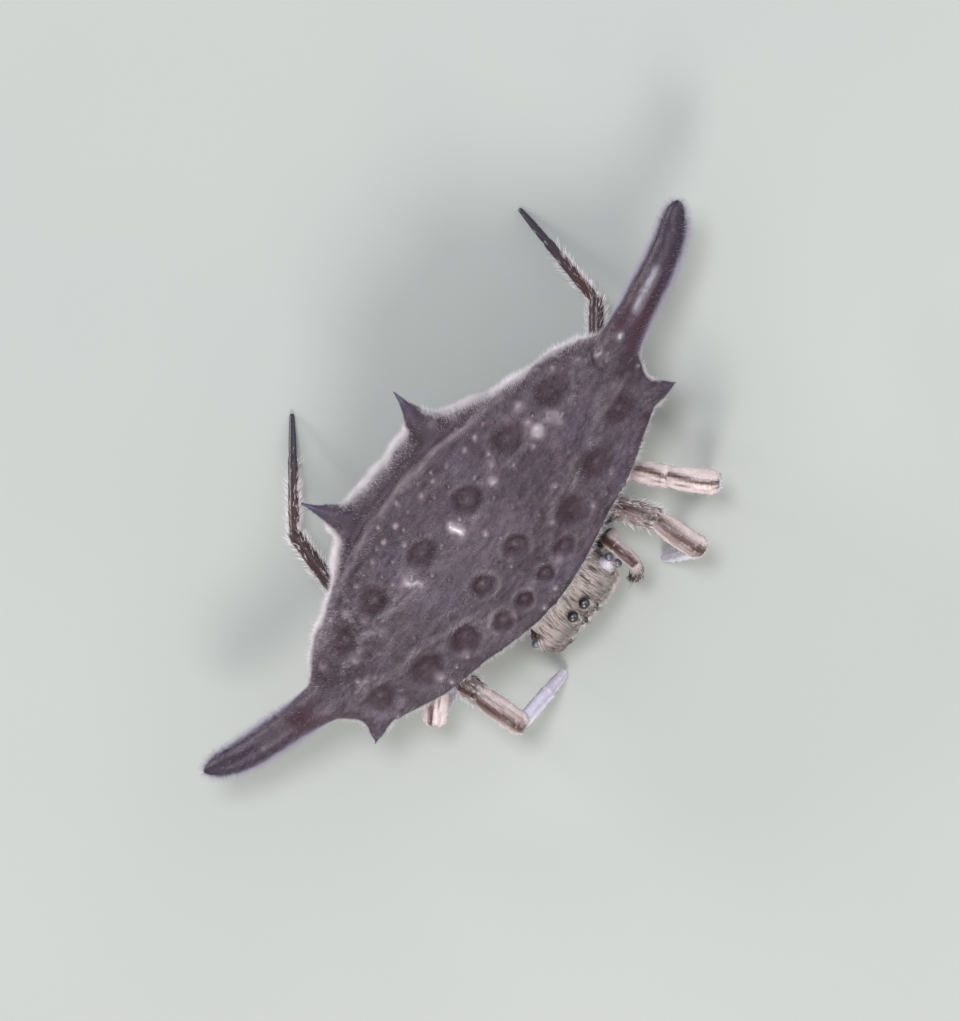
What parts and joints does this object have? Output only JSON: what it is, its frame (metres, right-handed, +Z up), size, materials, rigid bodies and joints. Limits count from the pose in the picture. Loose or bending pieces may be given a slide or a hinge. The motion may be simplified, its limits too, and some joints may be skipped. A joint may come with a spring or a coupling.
{
  "type": "spiny orb weaver",
  "caption": "Life-size still model of a dark spiny orb weaver spider standing on its feet, with a wide hard abdomen, long curved side spines and short corner spines.",
  "frame": {"origin": "on the floor that the feet stand on, below the middle of the whole spider's box", "axes": "+Z up; the spider faces -Y and its left side, with one of the two long spines, is +X"},
  "size_m": [0.0204, 0.0112, 0.0055],
  "materials": {
    "abdomen_shell": "hard dark brown-purple shell with a fine velvet of short pale hairs; the spines and dished scars are smoother and redder",
    "carapace_hair": "brown shell under a coat of cream hairs combed forward",
    "leg_hair": "cream to pinkish grey hair with dark red-brown stripes along the legs, darker at the ends of the hind legs",
    "jaw": "dark brown horn, half gloss",
    "eye": "black, very glossy",
    "spinneret": "dark brown, half matte, short hairs"
  },
  "bodies": {
    "root": {"abdomen": "abdomen_shell", "spinnerets": "spinneret", "cephalothorax": "carapace_hair", "eye_median_rear_L": "eye", "eye_median_rear_R": "eye", "eye_median_front_L": "eye", "eye_median_front_R": "eye", "eye_lateral_rear_L": "eye", "eye_lateral_rear_R": "eye", "eye_lateral_front_L": "eye", "eye_lateral_front_R": "eye", "chelicera_L": "jaw", "chelicera_R": "jaw", "pedipalp_L": "leg_hair", "pedipalp_R": "leg_hair", "leg_L1": "leg_hair", "leg_R1": "leg_hair", "leg_L2": "leg_hair", "leg_R2": "leg_hair", "leg_L3": "leg_hair", "leg_R3": "leg_hair", "leg_L4": "leg_hair", "leg_R4": "leg_hair"}
  },
  "joints": []
}
